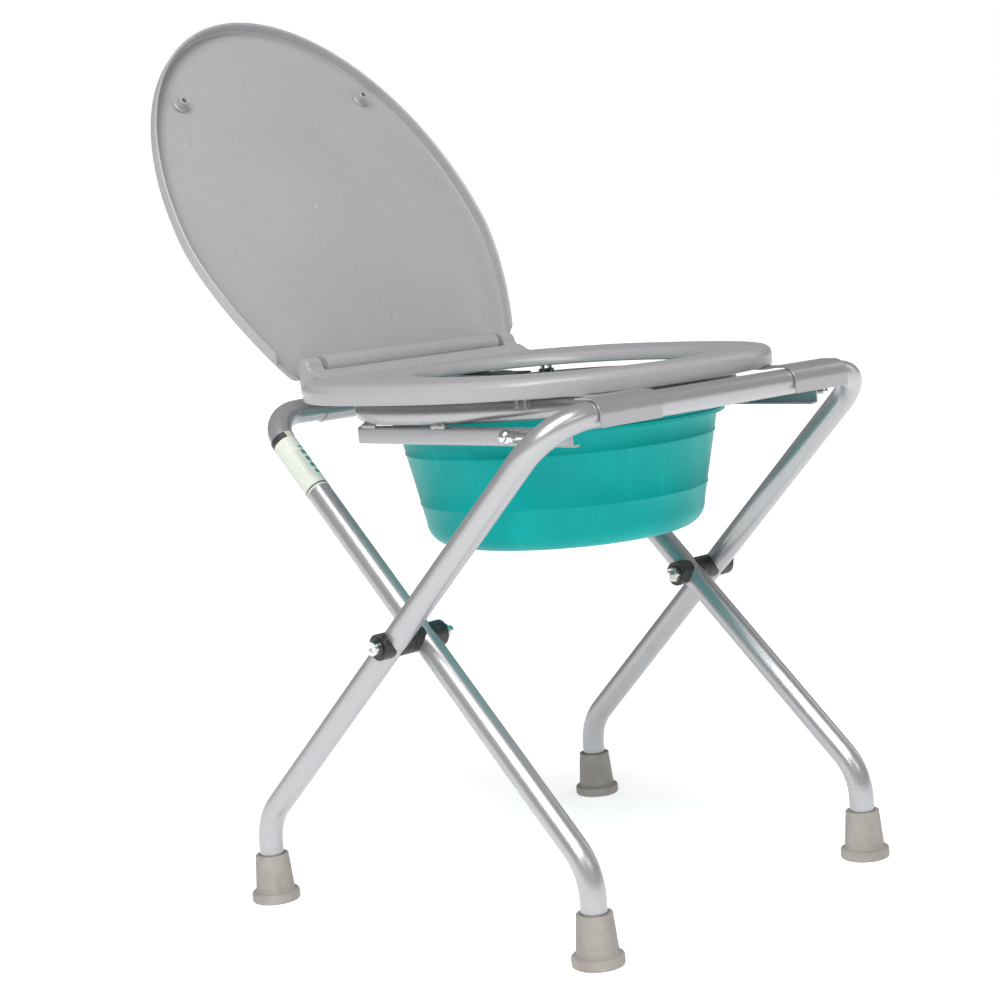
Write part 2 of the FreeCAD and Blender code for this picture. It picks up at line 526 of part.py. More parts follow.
# ---- assembly -------------------------------------------------------------------------------
def build():
    """Every node at rest, before the shift to the chair's own origin."""
    nodes = {"front_frame_tube": frame_tube(FRONT_ROD, FRONT_PATH),
             "rear_frame_tube": frame_tube(REAR_ROD, REAR_PATH)}
    nodes.update(both_sides("rear_foot", lambda s: rubber_foot(s * REAR_FOOT_HALF, REAR_FOOT_Y)))
    nodes.update(both_sides("front_foot", lambda s: rubber_foot(s * FRONT_FOOT_HALF, FRONT_FOOT_Y)))
    nodes["rear_foot_washers"] = foot_washers(REAR_FOOT_HALF, REAR_FOOT_Y)
    nodes["front_foot_washers"] = foot_washers(FRONT_FOOT_HALF, FRONT_FOOT_Y)
    for name, make in (("outer_spacer", outer_spacer), ("inner_spacer", inner_spacer),
                       ("outer_cap", outer_cap), ("inner_cap", inner_cap),
                       ("pivot_bolt", pivot_bolt), ("pivot_nut", pivot_nut),
                       ("side_rail", side_rail), ("front_clip", front_clip),
                       ("hinge_sleeve", hinge_sleeve), ("pin_guide", pin_guide),
                       ("lock_pin", lock_pin), ("lid_hinge_pin", hinge_pin)):
        nodes.update(both_sides(name, make))
    ring = ring_tube()
    nodes["seat_ring_tube"] = ring
    nodes["weld_beads"] = weld_beads(ring, [nodes["side_rail_left"], nodes["side_rail_right"]])
    straps = [nodes[f"{part}_{side}"] for part in ("front_clip", "hinge_sleeve") for side in SIDES]
    nodes["seat"] = seat_body()
    nodes["seat_snap_clips"] = snap_clips(ring, straps)
    nodes["lid"] = lid_body()
    nodes["bucket"] = bucket()
    nodes["quality_label"] = quality_label()
    return nodes


def box_centre_y(nodes):
    """Middle of the whole chair along Y."""
    whole = Part.makeCompound(list(nodes.values())).optimalBoundingBox(False)
    return (whole.YMin + whole.YMax) / 2


NODES = build()
SHIFT_Y = -box_centre_y(NODES)

os.makedirs("parts", exist_ok=True)
for node_name, node_shape in NODES.items():
    node_shape.translate(V(0, SHIFT_Y, 0))
    node_shape.exportStep(f"parts/{node_name}.step")
print("nodes", len(NODES), "shift along Y", round(SHIFT_Y, 3))
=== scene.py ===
import bpy
import bmesh
import json
import math
import numpy as np
from mathutils import Matrix, Vector

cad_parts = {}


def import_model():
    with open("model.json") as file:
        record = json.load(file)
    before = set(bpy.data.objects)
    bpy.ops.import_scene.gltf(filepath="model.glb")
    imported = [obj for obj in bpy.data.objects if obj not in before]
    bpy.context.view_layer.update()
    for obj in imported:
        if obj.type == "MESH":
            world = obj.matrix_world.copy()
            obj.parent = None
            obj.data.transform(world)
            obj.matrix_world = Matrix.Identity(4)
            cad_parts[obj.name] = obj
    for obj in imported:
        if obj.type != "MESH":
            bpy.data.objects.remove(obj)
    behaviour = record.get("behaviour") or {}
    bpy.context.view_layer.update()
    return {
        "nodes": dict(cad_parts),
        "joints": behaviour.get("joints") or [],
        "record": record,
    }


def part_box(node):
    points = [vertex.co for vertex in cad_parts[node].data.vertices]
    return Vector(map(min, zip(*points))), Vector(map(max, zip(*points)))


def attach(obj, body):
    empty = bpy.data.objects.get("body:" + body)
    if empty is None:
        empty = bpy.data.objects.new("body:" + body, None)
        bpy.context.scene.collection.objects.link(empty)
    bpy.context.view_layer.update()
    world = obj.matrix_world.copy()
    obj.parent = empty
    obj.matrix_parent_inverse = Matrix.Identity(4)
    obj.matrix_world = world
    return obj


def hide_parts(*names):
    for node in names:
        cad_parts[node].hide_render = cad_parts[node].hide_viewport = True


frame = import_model()
NODES = frame["nodes"]


SIDES = {"left": -1, "right": 1}


def joint_at(name):
    """Where a joint is, in the row frame."""
    return Vector(next(j for j in frame["joints"] if j["name"] == name)["pos_m"])


# ---- driving dimensions: millimetres from the pivot axis (x, y) and the floor (z) ------------
MM = 0.001
PIVOT = joint_at("frame_fold")
HINGE = joint_at("lid_hinge")
HINGE_Y, HINGE_Z = (HINGE.y - PIVOT.y) / MM, HINGE.z / MM

SEAT_HALF, SEAT_WIDE_Y, SEAT_FRONT_Y, SEAT_REAR_Y, SEAT_EDGE_Y = 190.4, 51.0, -191.5, 216.0, 188.0
SEAT_FRONT_EXP, SEAT_REAR_EXP = 2.6, 2.05
SEAT_TOP_Z, SEAT_SKIRT_Z, SEAT_INNER_Z, SEAT_CEILING_Z = 466.0, 449.0, 455.2, 462.8
SEAT_WALL, SEAT_ROUND, HOLE_ROUND, SEAT_CROWN = 3.2, 7.5, 9.0, 0.7
HOLE_HALF, HOLE_FRONT_Y, HOLE_REAR_Y = 117.0, -146.0, 116.0
LUG_X0, LUG_X1, LUG_R = 111.5, 128.0, 9.9
CRADLE_Y0, CRADLE_Y1, CRADLE_TOP_Z, CRADLE_R = 147.0, 169.0, 473.0, 11.4
CRADLE_UNDER_Z, UNDER_BARREL_Z = 458.0, 461.0  # underside of the cradle; top of the ring inside it

LID_HALF, LID_WIDE, LID_TIP, LID_REAR, LID_EDGE = 183.0, 148.1, 400.0, -126.6, -5.0
LID_TIP_EXP, LID_REAR_EXP = 2.0, 1.6
LID_LIFT, LID_PANEL, LID_RIM, LID_WALL, LID_ROUND = 10.5, 3.0, 8.8, 3.0, 2.6
LID_RIM_START, LID_FILLET, LID_OPEN_DEG = 16.0, 4.5, 122.4
BARREL_X, BARREL_R = 105.5, 10.8
STUD_X, STUD_AT, STUD_R, STUD_BORE_R, STUD_H = 110.0, 306.0, 5.0, 2.7, 9.0
GATE_AT = (-9.0, 181.0)                        # the lid's moulding gate: x, distance from the hinge
EJECTORS_AT = ((-119.0, 261.0), (58.0, 210.0), (13.0, 49.0))

BUCKET_Y, BUCKET_R, BUCKET_RIM_R, BUCKET_TAPER, BUCKET_WALL = -12.5, 139.0, 147.0, 0.21, 2.2
BUCKET_Z, BUCKET_BODY_Z, RIM_Z0, RIM_Z1 = 315.0, 410.0, 413.5, 422.5
BUCKET_CORNER, RIDGE_OUT = 20.0, 0.7
RIDGE_DROPS = (58.0, 13.0)                     # the moulded ridges, below the top of the wall

FOOT_BORE_R, FOOT_BORE_Z = 11.05, 30.0         # the tube's socket in a ferrule
RAIL_GAUGE, RAIL_BEND = 1.6, 2.6
WELD_X, WELD_YS, WELD_Z, WELD_R, WELD_LENGTH, WELD_DROPS = 150.4, (-26.0, 66.0), 427.4, 2.6, 13, 7
LEG_SLOPE = 0.94                               # rise of the narrow frame's upper leg, z against y

# the stage: the world's light on the surfaces (its own colour is white), and the floor's own glow
WORLD_LIGHT, FLOOR_GLOW, FLOOR_REACH = 0.32, 0.52, 30.0

# the camera: position from the pivot's foot, metres, and its angles, degrees
CAMERA_X, CAMERA_Y, CAMERA_Z = -1.33853, -1.41563, 0.58617
CAMERA_AZIMUTH, CAMERA_ELEVATION, CAMERA_ROLL = -41.959, 7.004, -5.040
LENS_MM, SENSOR_MM = 79.456, 36


# ---- mesh helpers ---------------------------------------------------------------------------
def grid(points, closed=True):
    """Vertices and quads of a (rows, columns, 3) grid whose rows close on themselves."""
    rows, columns = points.shape[:2]
    faces = []
    for i in range(rows if closed == "both" else rows - 1):
        for j in range(columns if closed else columns - 1):
            k, n = (i + 1) % rows, (j + 1) % columns
            faces.append((i * columns + j, i * columns + n, k * columns + n, k * columns + j))
    return points.reshape(-1, 3).tolist(), faces


def arc(cx, cy, radius, start, end, steps):
    """Points of a circular arc, degrees."""
    angles = np.radians(np.linspace(start, end, steps))
    return [(cx + radius * math.cos(a), cy + radius * math.sin(a)) for a in angles]


def lathe(profile, centre, axis=(0, 0, 1), columns=96):
    """Turns (radius, height) points about an axis through a centre."""
    axis = Vector(axis).normalized()
    side = axis.orthogonal().normalized()
    across = axis.cross(side)
    turns = 2 * math.pi * np.arange(columns) / columns
    rows = []
    for radius, height in profile:
        base = np.array(centre) + height * np.array(axis)
        rows.append([base + radius * (math.cos(t) * np.array(side) + math.sin(t) * np.array(across))
                     for t in turns])
    return grid(np.array(rows))


def extrusion(profile, x0, x1, bevel=0.0, segments=4, only_end=None):
    """A closed (y, z) outline carried along X, with its end edges rounded."""
    work = bmesh.new()
    near = [work.verts.new((x0, y, z)) for y, z in profile]
    far = [work.verts.new((x1, y, z)) for y, z in profile]
    count = len(profile)
    work.faces.new(near)
    work.faces.new(list(reversed(far)))
    for i in range(count):
        k = (i + 1) % count
        work.faces.new((near[i], far[i], far[k], near[k]))
    bmesh.ops.recalc_face_normals(work, faces=work.faces)
    if bevel:
        ends = {x0, x1} if only_end is None else {only_end}
        edges = [e for e in work.edges if e.verts[0].co.x == e.verts[1].co.x and e.verts[0].co.x in ends]
        bmesh.ops.bevel(work, geom=edges, offset=bevel, segments=segments, profile=0.5, affect="EDGES",
                        clamp_overlap=True)
    work.verts.index_update()
    result = [list(v.co) for v in work.verts], [[v.index for v in f.verts] for f in work.faces]
    work.free()
    return result


def resampled(points, count):
    """A closed outline with its points spread evenly along it, from its rear middle."""
    loop = np.vstack([points, points[:1]])
    length = np.concatenate([[0], np.cumsum(np.hypot(*np.diff(loop, axis=0).T))])
    at = np.linspace(0, length[-1], count, endpoint=False)
    return np.column_stack([np.interp(at, length, loop[:, k]) for k in (0, 1)])


def egg(half, wide, front, rear, front_exp, rear_exp, edge=None, count=360, corner=6.0):
    """An egg outline: superellipse halves, with a straight rear edge behind softly rounded corners."""
    t = math.pi / 2 + 2 * math.pi * (np.arange(4000)) / 4000
    c, s = np.cos(t), np.sin(t)
    power = np.where(s > 0, 2 / rear_exp, 2 / front_exp)
    reach = np.where(s > 0, rear - wide, wide - front)
    x = half * np.sign(c) * np.abs(c) ** power
    y = wide + reach * np.sign(s) * np.abs(s) ** power
    if edge is not None:
        sign = 1 if rear > front else -1
        y = (y + edge - sign * np.sqrt((y - edge) ** 2 + corner ** 2)) / 2
    return resampled(np.column_stack([x, y]), count)


def inward(outline):
    """Unit vectors that point into an outline."""
    along = np.roll(outline, -1, 0) - np.roll(outline, 1, 0)
    normal = np.column_stack([-along[:, 1], along[:, 0]])
    normal /= np.hypot(*normal.T)[:, None]
    middle = outline.mean(0) - outline
    return normal * np.sign((normal * middle).sum(1))[:, None]


def row(plan, z):
    """One closed row of a grid, from a plan outline and a height (a number or one for each point)."""
    return np.column_stack([plan, np.broadcast_to(z, len(plan))])


def place(vertices):
    """From millimetres about the pivot to the row frame."""
    return [(x * MM, y * MM + PIVOT.y, z * MM) for x, y, z in vertices]


def piece(name, parts, body, material, stands_for=(), sharp=38):
    """One object from (vertices, faces) parts, smooth except across sharp edges."""
    vertices, faces = [], []
    for part_vertices, part_faces in parts:
        start = len(vertices)
        vertices += part_vertices
        faces += [[start + i for i in face] for face in part_faces]
    mesh = bpy.data.meshes.new(name)
    mesh.from_pydata(place(vertices), [], faces)
    work = bmesh.new()
    work.from_mesh(mesh)
    bmesh.ops.remove_doubles(work, verts=work.verts, dist=1e-6)
    bmesh.ops.recalc_face_normals(work, faces=work.faces)
    work.to_mesh(mesh)
    work.free()
    mesh.shade_smooth()
    mesh.set_sharp_from_angle(angle=math.radians(sharp))
    mesh.materials.append(material)
    obj = bpy.data.objects.new(name, mesh)
    bpy.context.scene.collection.objects.link(obj)
    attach(obj, body)
    if stands_for:
        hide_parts(*stands_for)
    return obj


# ---- materials ------------------------------------------------------------------------------
class Shader:
    """A material's nodes, with short calls for the textures that it mixes."""

    def __init__(self, name, metallic=0.0, ior=1.46):
        self.material = bpy.data.materials.new(name)
        self.material.use_nodes = True
        self.nodes = self.material.node_tree.nodes
        self.links = self.material.node_tree.links
        self.bsdf = self.nodes["Principled BSDF"]
        self.bsdf.inputs["Metallic"].default_value = metallic
        self.bsdf.inputs["IOR"].default_value = ior
        self.coords = self.nodes.new("ShaderNodeTexCoord").outputs["Object"]

    def feed(self, socket, value):
        """Links a socket, or sets it to a constant."""
        if isinstance(value, bpy.types.NodeSocket):
            self.links.new(value, socket)
        elif isinstance(value, tuple) and len(value) == 3 and socket.type == "RGBA":
            socket.default_value = (*value, 1)
        else:
            socket.default_value = value

    def math(self, operation, a, b=0.0, clamp=False):
        node = self.nodes.new("ShaderNodeMath")
        node.operation = operation
        node.use_clamp = clamp
        self.feed(node.inputs[0], a)
        self.feed(node.inputs[1], b)
        return node.outputs[0]

    def stretched(self, scale):
        node = self.nodes.new("ShaderNodeMapping")
        self.links.new(self.coords, node.inputs["Vector"])
        node.inputs["Scale"].default_value = scale
        return node.outputs["Vector"]

    def noise(self, scale, detail=3.0, roughness=0.5, vector=None):
        node = self.nodes.new("ShaderNodeTexNoise")
        self.links.new(vector or self.coords, node.inputs["Vector"])
        node.inputs["Scale"].default_value = scale
        node.inputs["Detail"].default_value = detail
        node.inputs["Roughness"].default_value = roughness
        return node.outputs["Fac"]

    def span(self, value, low, high, to_low=0.0, to_high=1.0):
        """Maps a range of a value to another range."""
        node = self.nodes.new("ShaderNodeMapRange")
        self.feed(node.inputs["Value"], value)
        for name, number in (("From Min", low), ("From Max", high), ("To Min", to_low), ("To Max", to_high)):
            node.inputs[name].default_value = number
        return node.outputs["Result"]

    def mix(self, factor, a, b):
        node = self.nodes.new("ShaderNodeMix")
        node.data_type = "RGBA"
        self.feed(node.inputs["Factor"], factor)
        self.feed(node.inputs[6], a)
        self.feed(node.inputs[7], b)
        return node.outputs[2]

    def dot(self, direction):
        """The surface point's distance along a direction, in the row frame."""
        node = self.nodes.new("ShaderNodeVectorMath")
        node.operation = "DOT_PRODUCT"
        self.links.new(self.coords, node.inputs[0])
        node.inputs[1].default_value = direction
        return node.outputs["Value"]

    def specks(self, scale, size):
        """Sparse small spots, 1 on a spot."""
        node = self.nodes.new("ShaderNodeTexVoronoi")
        self.links.new(self.coords, node.inputs["Vector"])
        node.inputs["Scale"].default_value = scale
        return self.span(node.outputs["Distance"], size, size * 0.6)

    def bump(self, height, strength, distance, under=None):
        node = self.nodes.new("ShaderNodeBump")
        node.inputs["Strength"].default_value = strength
        node.inputs["Distance"].default_value = distance
        self.links.new(height, node.inputs["Height"])
        if under is not None:
            self.links.new(under, node.inputs["Normal"])
        return node.outputs["Normal"]

    def finish(self, color, roughness, normal):
        self.feed(self.bsdf.inputs["Base Color"], color)
        self.feed(self.bsdf.inputs["Roughness"], roughness)
        self.links.new(normal, self.bsdf.inputs["Normal"])
        return self.material


def silver_paint():
    """Satin silver paint: fine flake, soft orange peel and faint rubbing along the tubes."""
    s = Shader("silver_paint", metallic=0.66)
    flake = s.noise(2400, 1.0)
    cloud = s.noise(11, 4.0)
    scuff = s.span(s.noise(60, 5.0, 0.7, s.stretched((1, 1, 0.35))), 0.62, 0.74)
    color = s.mix(s.span(flake, 0.3, 0.7), (0.385, 0.385, 0.400), (0.455, 0.455, 0.470))
    color = s.mix(s.span(cloud, 0.35, 0.7, 0.0, 0.35), color, (0.45, 0.44, 0.445))
    color = s.mix(s.math("MULTIPLY", scuff, 0.2), color, (0.32, 0.31, 0.32))
    roughness = s.math("ADD", s.span(cloud, 0.3, 0.7, 0.26, 0.32), s.math("MULTIPLY", scuff, 0.12))
    peel = s.bump(s.noise(420, 2.0), 0.10, 0.0004)
    return s.finish(color, roughness, s.bump(flake, 0.06, 0.0001, peel))


def seat_plastic():
    """Grey moulded plastic: satin skin with fine grain, faint flow shading, small specks and scratches."""
    s = Shader("seat_plastic", ior=1.47)
    flow = s.noise(5.5, 3.0)
    grain = s.noise(1500, 2.0)
    scratch = s.span(s.noise(38, 6.0, 0.75, s.stretched((1, 6, 6))), 0.66, 0.72)
    speck = s.math("MULTIPLY", s.specks(34, 0.035), s.span(s.noise(7, 1.0), 0.52, 0.6))
    color = s.mix(s.span(flow, 0.3, 0.7), (0.335, 0.335, 0.350), (0.360, 0.360, 0.372))
    color = s.mix(s.math("MULTIPLY", scratch, 0.18), color, (0.45, 0.45, 0.46))
    color = s.mix(s.math("MULTIPLY", speck, 0.6), color, (0.16, 0.15, 0.14))
    roughness = s.math("ADD", s.span(grain, 0.3, 0.7, 0.24, 0.31), s.math("MULTIPLY", scratch, 0.1))
    skin = s.bump(s.noise(120, 2.0), 0.05, 0.0004)
    return s.finish(color, roughness, s.bump(grain, 0.08, 0.00008, skin))


def bucket_plastic():
    """Teal moulded plastic, a little scuffed, with faint upright drag lines from its mould."""
    s = Shader("bucket_plastic", ior=1.48)
    s.bsdf.inputs["Specular IOR Level"].default_value = 0.14
    around = s.math("ARCTAN2", s.dot((1, 0, 0)), s.math("SUBTRACT", s.dot((0, 1, 0)),
                                                         PIVOT.y + BUCKET_Y * MM))
    line = s.math("SINE", s.math("MULTIPLY", around, 24.0))
    drag = s.math("MULTIPLY", s.span(line, 0.985, 1.0), s.span(s.noise(9, 2.0), 0.4, 0.6))
    patch = s.span(s.noise(13, 4.0, 0.6), 0.45, 0.72)
    grain = s.noise(900, 2.0)
    scuff = s.span(s.noise(55, 6.0, 0.75, s.stretched((1, 1, 4))), 0.64, 0.72)
    color = s.mix(patch, (0.0, 0.305, 0.292), (0.0, 0.350, 0.334))
    color = s.mix(s.math("MULTIPLY", drag, 0.25), color, (0.02, 0.48, 0.45))
    color = s.mix(s.math("MULTIPLY", scuff, 0.3), color, (0.03, 0.42, 0.40))
    roughness = s.math("ADD", s.span(grain, 0.3, 0.7, 0.36, 0.45), s.math("MULTIPLY", scuff, 0.1))
    ribs = s.bump(drag, 0.3, 0.0003)
    return s.finish(color, roughness, s.bump(grain, 0.1, 0.0001, ribs))


def foot_rubber():
    """Taupe rubber: matt, slightly dusty, with small pale scratches."""
    s = Shader("foot_rubber", ior=1.5)
    dust = s.noise(45, 5.0, 0.65)
    grain = s.noise(1300, 3.0)
    scratch = s.span(s.noise(110, 6.0, 0.8, s.stretched((1, 1, 3))), 0.63, 0.69)
    color = s.mix(s.span(dust, 0.35, 0.7), (0.265, 0.243, 0.220), (0.350, 0.325, 0.298))
    color = s.mix(s.math("MULTIPLY", scratch, 0.45), color, (0.44, 0.42, 0.39))
    roughness = s.span(dust, 0.3, 0.7, 0.55, 0.72)
    dents = s.bump(dust, 0.15, 0.0005)
    return s.finish(color, roughness, s.bump(grain, 0.2, 0.00012, dents))


def bright_steel():
    """Nickel plate: bright, with fine polishing marks and faint dulling."""
    s = Shader("bright_steel", metallic=1.0)
    haze = s.noise(160, 4.0, 0.6)
    marks = s.noise(900, 3.0, 0.6, s.stretched((1, 8, 8)))
    color = s.mix(s.span(haze, 0.4, 0.7), (0.76, 0.76, 0.77), (0.62, 0.61, 0.60))
    roughness = s.span(haze, 0.35, 0.75, 0.10, 0.26)
    return s.finish(color, roughness, s.bump(marks, 0.05, 0.00005))


def zinc_steel():
    """Zinc plate: pale, cloudy and slightly yellow."""
    s = Shader("zinc_steel", metallic=1.0)
    spangle = s.noise(220, 4.0, 0.6)
    color = s.mix(s.span(spangle, 0.35, 0.7), (0.58, 0.58, 0.57), (0.70, 0.68, 0.62))
    roughness = s.span(spangle, 0.3, 0.7, 0.26, 0.42)
    return s.finish(color, roughness, s.bump(s.noise(1200, 2.0), 0.08, 0.00006))


def black_nylon():
    """Black moulded nylon: satin, a little paler where it is rubbed."""
    s = Shader("black_nylon", ior=1.53)
    rub = s.noise(190, 4.0, 0.6)
    grain = s.noise(2200, 2.0)
    color = s.mix(s.span(rub, 0.45, 0.75), (0.014, 0.014, 0.016), (0.045, 0.045, 0.05))
    roughness = s.span(rub, 0.3, 0.7, 0.33, 0.48)
    return s.finish(color, roughness, s.bump(grain, 0.15, 0.00006))


def label_paper():
    """Printed film: a dark strip with a pale window, plain bars, dashes and a line, no lettering."""
    s = Shader("label_paper", ior=1.45)
    low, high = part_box("quality_label")
    leg = Vector((0, 1, LEG_SLOPE)).normalized()
    start, end = Vector((0, low.y, low.z)).dot(leg), Vector((0, high.y, high.z)).dot(leg)
    along = s.span(s.dot(tuple(leg)), start, end)
    across = s.span(s.dot((1, 0, 0)), low.x, high.x)

    def band(value, first, last):
        """1 between two values."""
        above = s.math("GREATER_THAN", value, first)
        return s.math("MULTIPLY", above, s.math("LESS_THAN", value, last))

    def stripes(value, count, share):
        """Repeating bars, 1 on a bar."""
        return s.math("LESS_THAN", s.math("FRACT", s.math("MULTIPLY", value, count)), share)

    fade = s.noise(300, 3.0)
    color = s.mix(s.span(fade, 0.3, 0.7), (0.56, 0.60, 0.52), (0.62, 0.65, 0.57))
    bars = s.math("MULTIPLY", band(along, 0.28, 0.66), stripes(along, 11.0, 0.6))
    print_block = s.math("MULTIPLY", bars, band(across, 0.50, 0.86))
    color = s.mix(print_block, color, (0.02, 0.27, 0.28))
    dashes = s.math("MULTIPLY", stripes(along, 34.0, 0.4), band(across, 0.22, 0.42))
    dashes = s.math("MULTIPLY", dashes, band(along, 0.25, 0.6))
    color = s.mix(s.math("MULTIPLY", dashes, 0.5), color, (0.25, 0.27, 0.26))
    strip = band(along, 0.80, 0.88)
    color = s.mix(strip, color, (0.03, 0.035, 0.035))
    window = s.math("MULTIPLY", strip, band(across, 0.40, 0.74))
    color = s.mix(window, color, (0.50, 0.52, 0.44))
    color = s.mix(band(along, 0.145, 0.165), color, (0.10, 0.11, 0.11))
    roughness = s.span(fade, 0.3, 0.7, 0.38, 0.5)
    return s.finish(color, roughness, s.bump(fade, 0.1, 0.0001))


def floor_paint():
    """Pale studio floor with a barely visible tooth."""
    s = Shader("studio_floor")
    tooth = s.noise(90, 3.0)
    color = s.mix(tooth, (0.90, 0.90, 0.90), (0.93, 0.93, 0.93))
    s.feed(s.bsdf.inputs["Emission Color"], (1.0, 1.0, 1.0))
    s.bsdf.inputs["Emission Strength"].default_value = FLOOR_GLOW
    return s.finish(color, s.span(tooth, 0.0, 1.0, 0.85, 0.95), s.bump(tooth, 0.02, 0.0003))


MATERIALS = {make.__name__: make() for make in (silver_paint, seat_plastic, bucket_plastic, foot_rubber,
                                                bright_steel, zinc_steel, black_nylon, label_paper)}


# ---- seat -----------------------------------------------------------------------------------
def seat_ring():
    """The moulded ring: skirt, rounded edges, crowned top and the hollow underneath.

    Between the lugs its rear end is lowered inside the cradle, to leave the lid's barrel its room.
    """
    outer = egg(SEAT_HALF, SEAT_WIDE_Y, SEAT_FRONT_Y, SEAT_REAR_Y, SEAT_FRONT_EXP, SEAT_REAR_EXP, SEAT_EDGE_Y)
    hole = egg(HOLE_HALF, (HOLE_FRONT_Y + HOLE_REAR_Y) / 2, HOLE_FRONT_Y, HOLE_REAR_Y, 2.0, 2.0)
    outer_in, hole_in = inward(outer), inward(hole)
    round_z, hole_z = SEAT_TOP_Z - SEAT_ROUND, SEAT_TOP_Z - HOLE_ROUND
    skirt_round, lip_round, crown_rows = 1.4, 1.2, 12

    def from_edge(depth, z):
        return row(outer + outer_in * depth, z)

    def from_hole(depth, z):
        return row(hole - hole_in * depth, z)

    rows = [from_edge(SEAT_WALL, SEAT_SKIRT_Z + 0.4), from_edge(SEAT_WALL - 0.4, SEAT_SKIRT_Z)]
    rows += [from_edge(skirt_round + d, z)
             for d, z in arc(0, SEAT_SKIRT_Z + skirt_round, skirt_round, 270, 180, 4)]
    rows += [from_edge(d, z) for d, z in arc(SEAT_ROUND, round_z, SEAT_ROUND, 180, 90, 9)]
    rim, lip = rows[-1], from_hole(HOLE_ROUND, SEAT_TOP_Z)
    for share in np.linspace(0, 1, crown_rows + 2)[1:-1]:
        between = rim * (1 - share) + lip * share
        between[:, 2] += SEAT_CROWN * math.sin(math.pi * share) ** 0.8
        rows.append(between)
    rows += [from_hole(d, z) for d, z in arc(HOLE_ROUND, hole_z, HOLE_ROUND, 90, 180, 10)]
    rows += [from_hole(lip_round + d, z)
             for d, z in arc(0, SEAT_INNER_Z + lip_round, lip_round, 180, 270, 4)]
    rows += [from_hole(SEAT_WALL, SEAT_INNER_Z), from_hole(SEAT_WALL, SEAT_CEILING_Z - 2.5)]
    rows += [from_hole(SEAT_WALL + 2.5, SEAT_CEILING_Z), from_edge(SEAT_WALL + 3.5, SEAT_CEILING_Z)]
    rows += [from_edge(SEAT_WALL, SEAT_CEILING_Z - 3.5)]
    points = np.array(rows)
    x, y, z = points[:, :, 0], points[:, :, 1], points[:, :, 2]
    under_barrel = (y > CRADLE_Y1 - 5) & (np.abs(x) < LUG_X0 - 0.5)
    points[:, :, 2] = np.where(under_barrel, np.minimum(z, UNDER_BARREL_Z), z)
    return grid(points, "both")


def cradle_slope():
    """From just inside the seat's top up a soft slope to the crease beside the lid's barrel."""
    foot_z, steps = SEAT_TOP_Z - 0.2, 9
    ease = [(1 - math.cos(math.pi * t)) / 2 for t in np.linspace(0, 1, steps)]
    return [(y, foot_z + (CRADLE_TOP_Z - foot_z) * e)
            for y, e in zip(np.linspace(CRADLE_Y0, CRADLE_Y1, steps), ease)]


def hinge_cradle():
    """The raised back of the seat between the lugs, hollowed for the barrel."""
    hollow = arc(HINGE_Y, HINGE_Z, CRADLE_R, 189, 301, 16)
    rear = [(SEAT_EDGE_Y, hollow[-1][1] - 0.4), (SEAT_EDGE_Y, CRADLE_UNDER_Z)]
    under = [(CRADLE_Y0 + 14, CRADLE_UNDER_Z), (CRADLE_Y0, SEAT_CEILING_Z)]
    return extrusion(cradle_slope() + hollow + rear + under, -LUG_X0, LUG_X0)


def hinge_lug(side):
    """A rounded ear beside the barrel."""
    slope = cradle_slope()
    over = arc(HINGE_Y, HINGE_Z, LUG_R, 172, -55, 26)
    neck = [(slope[-1][0] + 0.9, slope[-1][1] + 0.35)]
    rear = [(SEAT_EDGE_Y, SEAT_TOP_Z - 3), (SEAT_EDGE_Y - 1, SEAT_SKIRT_Z + 3)]
    profile = slope + neck + over + rear + [(CRADLE_Y0 + 6, SEAT_SKIRT_Z + 3)]
    return extrusion(profile, side * LUG_X0, side * LUG_X1, bevel=4.2, segments=6, only_end=side * LUG_X1)


def pin_collar(side):
    """A collar round a hinge pin, against the inner face of its lug; the pin itself is the CAD node."""
    profile = [(3.1, 0.0), (4.6, 0.0), (4.6, 1.2), (4.1, 1.6), (3.1, 1.6)]
    at = (side * (LUG_X0 - 1.4), HINGE_Y, HINGE_Z)
    return lathe(profile + profile[:1], at, (side, 0, 0), 32)


def seat():
    parts = [seat_ring(), hinge_cradle()]
    parts += [hinge_lug(side) for side in SIDES.values()]
    parts += [pin_collar(side) for side in SIDES.values()]
    piece("moulded_seat", parts, "seat", MATERIALS["seat_plastic"], ["seat"])


# ---- lid ------------------------------------------------------------------------------------
def opened(part):
    """Turns a part of the lid from (x, along, lift) when closed to its open rest place."""
    vertices, faces = part
    turn = Matrix.Rotation(math.radians(-LID_OPEN_DEG), 3, "X")
    axle = Vector((0, HINGE_Y, HINGE_Z))
    return [tuple(turn @ Vector((x, -along, lift)) + axle) for x, along, lift in vertices], faces


